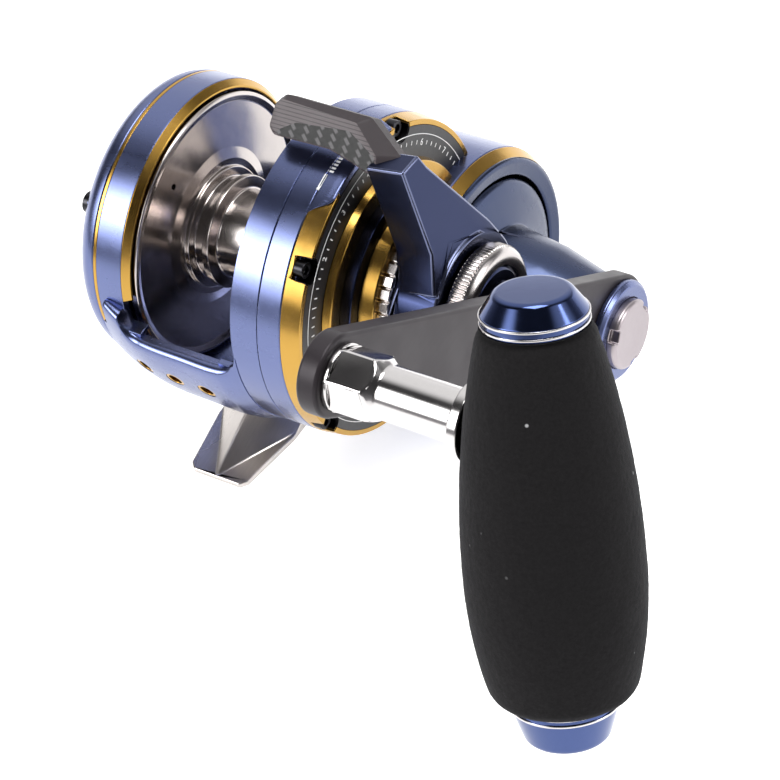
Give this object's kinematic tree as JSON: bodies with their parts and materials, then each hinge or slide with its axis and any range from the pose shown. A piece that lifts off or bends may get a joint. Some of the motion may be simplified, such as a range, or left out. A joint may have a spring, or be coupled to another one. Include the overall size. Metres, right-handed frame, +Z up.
{
  "type": "trolling reel",
  "caption": "Narrow lever-drag trolling and jigging reel, right-hand wind, with an open-topped frame, offset gear case, drag lever, long arm and foam grip.",
  "frame": {"origin": "middle of the foot's seating face, where it lies on the rod seat", "axes": "+X along the spool's axis toward the handle, +Y along the rod toward its tip, +Z up from the rod"},
  "size_m": [0.1668, 0.1479, 0.1342],
  "materials": {
    "blue_anodize": "satin anodized",
    "navy_anodize": "satin anodized",
    "gold_anodize": "satin anodized",
    "spool_alloy": "polished gun-metal anodized",
    "dial_black": "satin with light scale marks",
    "black_screw": "black oxide",
    "foot_steel": "satin",
    "polished_steel": "polished",
    "knurled_silver": "satin, knurled",
    "machined_steel": "turned",
    "plain_alloy": "machined",
    "gear_brass": "machined",
    "drag_carbon": "woven carbon washer",
    "paddle_carbon": "carbon twill laminate",
    "arm_grey": "satin hard anodized",
    "grip_foam": "matte closed-cell foam",
    "grip_tube": "moulded"
  },
  "bodies": {
    "reel_body": {"frame": "blue_anodize", "drain_bushes": "gold_anodize", "foot": "foot_steel", "foot_screws": "machined_steel", "left_plate": "blue_anodize", "left_pinstripe": "gold_anodize", "left_gold_ring": "gold_anodize", "left_plate_screws": "black_screw", "right_side_plate": "blue_anodize", "bridge_plate": "plain_alloy", "right_gold_ring": "gold_anodize", "side_plate_screws": "black_screw", "dial_plate": "dial_black", "dial_gold_ring": "gold_anodize", "lever_seat_ring": "navy_anodize", "strike_ring": "gold_anodize", "click_ring": "knurled_silver", "housing_cover": "blue_anodize", "housing_gold_ring": "gold_anodize", "housing_screws": "black_screw", "spool_shaft": "machined_steel", "pinion_bearing": "machined_steel", "handle_bearings": "machined_steel", "drag_cam": "machined_steel", "drag_springs": "machined_steel", "dog_pin": "machined_steel"},
    "spool": {"spool": "spool_alloy", "spool_bearings": "machined_steel", "drag_washer": "drag_carbon", "click_ratchet": "machined_steel"},
    "pinion": {"pinion_gear": "gear_brass", "pressure_plate": "machined_steel"},
    "drag_lever": {"drag_lever": "navy_anodize", "lever_paddle": "paddle_carbon"},
    "preset_knob": {"preset_knob": "knurled_silver", "preset_cap": "navy_anodize"},
    "handle": {"main_gear": "gear_brass", "handle_shaft": "machined_steel", "reverse_ratchet": "machined_steel", "handle_arm": "arm_grey", "hub_ring": "blue_anodize", "handle_nut": "knurled_silver", "grip_post": "polished_steel", "post_nut": "machined_steel"},
    "grip": {"grip_core": "grip_tube", "grip_bearings": "machined_steel", "foam_grip": "grip_foam", "grip_top_cap": "navy_anodize", "grip_bottom_cap": "navy_anodize", "grip_rings": "polished_steel"},
    "clicker": {"click_button": "knurled_silver", "click_tongue": "machined_steel"},
    "reverse_dog": {"reverse_dog": "machined_steel"}
  },
  "joints": [
    {"name": "handle_spin", "type": "hinge", "parent": "reel_body", "child": "handle", "pos_m": [0, 0.02292, 0.01526], "axis": [1, 0, 0], "continuous": true},
    {"name": "spool_spin", "type": "hinge", "parent": "reel_body", "child": "spool", "pos_m": [0, 0, 0.039], "axis": [1, 0, 0], "continuous": true},
    {"name": "pinion_spin", "type": "hinge", "parent": "reel_body", "child": "pinion", "pos_m": [0, 0, 0.039], "axis": [1, 0, 0], "continuous": true},
    {"name": "grip_spin", "type": "hinge", "parent": "handle", "child": "grip", "pos_m": [0, -0.06255, 0.08826], "axis": [1, 0, 0], "continuous": true},
    {"name": "drag_lever_turn", "type": "hinge", "parent": "reel_body", "child": "drag_lever", "pos_m": [0, 0, 0.039], "axis": [1, 0, 0], "range_deg": [-58, 66]},
    {"name": "preset_knob_turn", "type": "hinge", "parent": "reel_body", "child": "preset_knob", "pos_m": [0, 0, 0.039], "axis": [1, 0, 0], "range_deg": [-180, 180]},
    {"name": "click_button_slide", "type": "slide", "parent": "reel_body", "child": "clicker", "axis": [1, 0, 0], "range_m": [0, 0.002]},
    {"name": "reverse_dog_lift", "type": "hinge", "parent": "reel_body", "child": "reverse_dog", "pos_m": [0, 0.03265, 0.00519], "axis": [1, 0, 0], "range_deg": [-12, 0]}
  ],
  "couplings": [
    {"joint": "spool_spin", "follows": "handle_spin", "ratio": -5},
    {"joint": "pinion_spin", "follows": "handle_spin", "ratio": -5}
  ]
}
